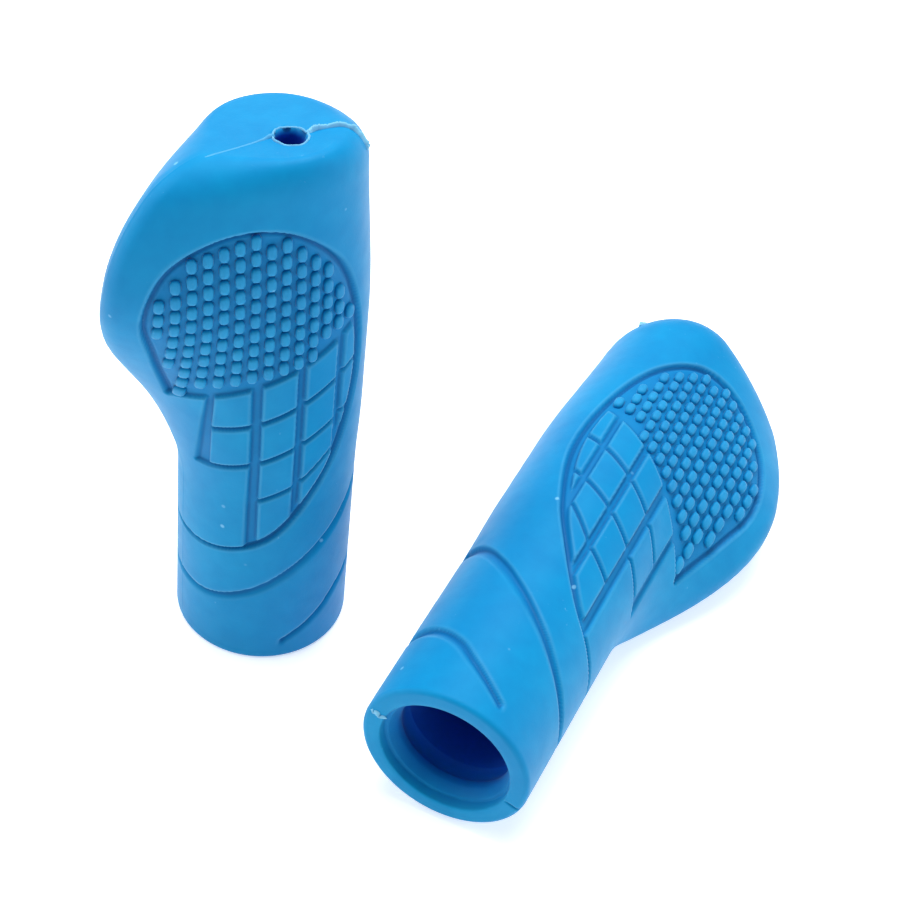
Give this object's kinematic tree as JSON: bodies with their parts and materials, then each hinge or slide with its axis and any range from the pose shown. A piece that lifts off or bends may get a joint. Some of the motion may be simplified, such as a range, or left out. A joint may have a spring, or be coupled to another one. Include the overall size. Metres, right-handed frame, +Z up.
{
  "type": "handlebar grip pair",
  "caption": "Pair of mirrored soft rubber handlebar grips, each a sleeve with a blind bore, a palm wing and a closed cap.",
  "frame": {"origin": "centre of the pair's footprint on the table, at table height", "axes": "+Z up along the standing left grip, from its open mouth to its cap; -Y out of the mouth of the lying right grip"},
  "size_m": [0.1076, 0.119, 0.119],
  "materials": {
    "blue_rubber": "satin moulded rubber with a light haze and mould flash"
  },
  "bodies": {
    "right_grip": {"right_grip": "blue_rubber"},
    "left_grip": {"left_grip": "blue_rubber"}
  },
  "joints": [
    {"name": "left_lift", "type": "slide", "parent": "right_grip", "child": "left_grip", "axis": [0, 0, 1], "range_m": [0, 0.13]}
  ]
}
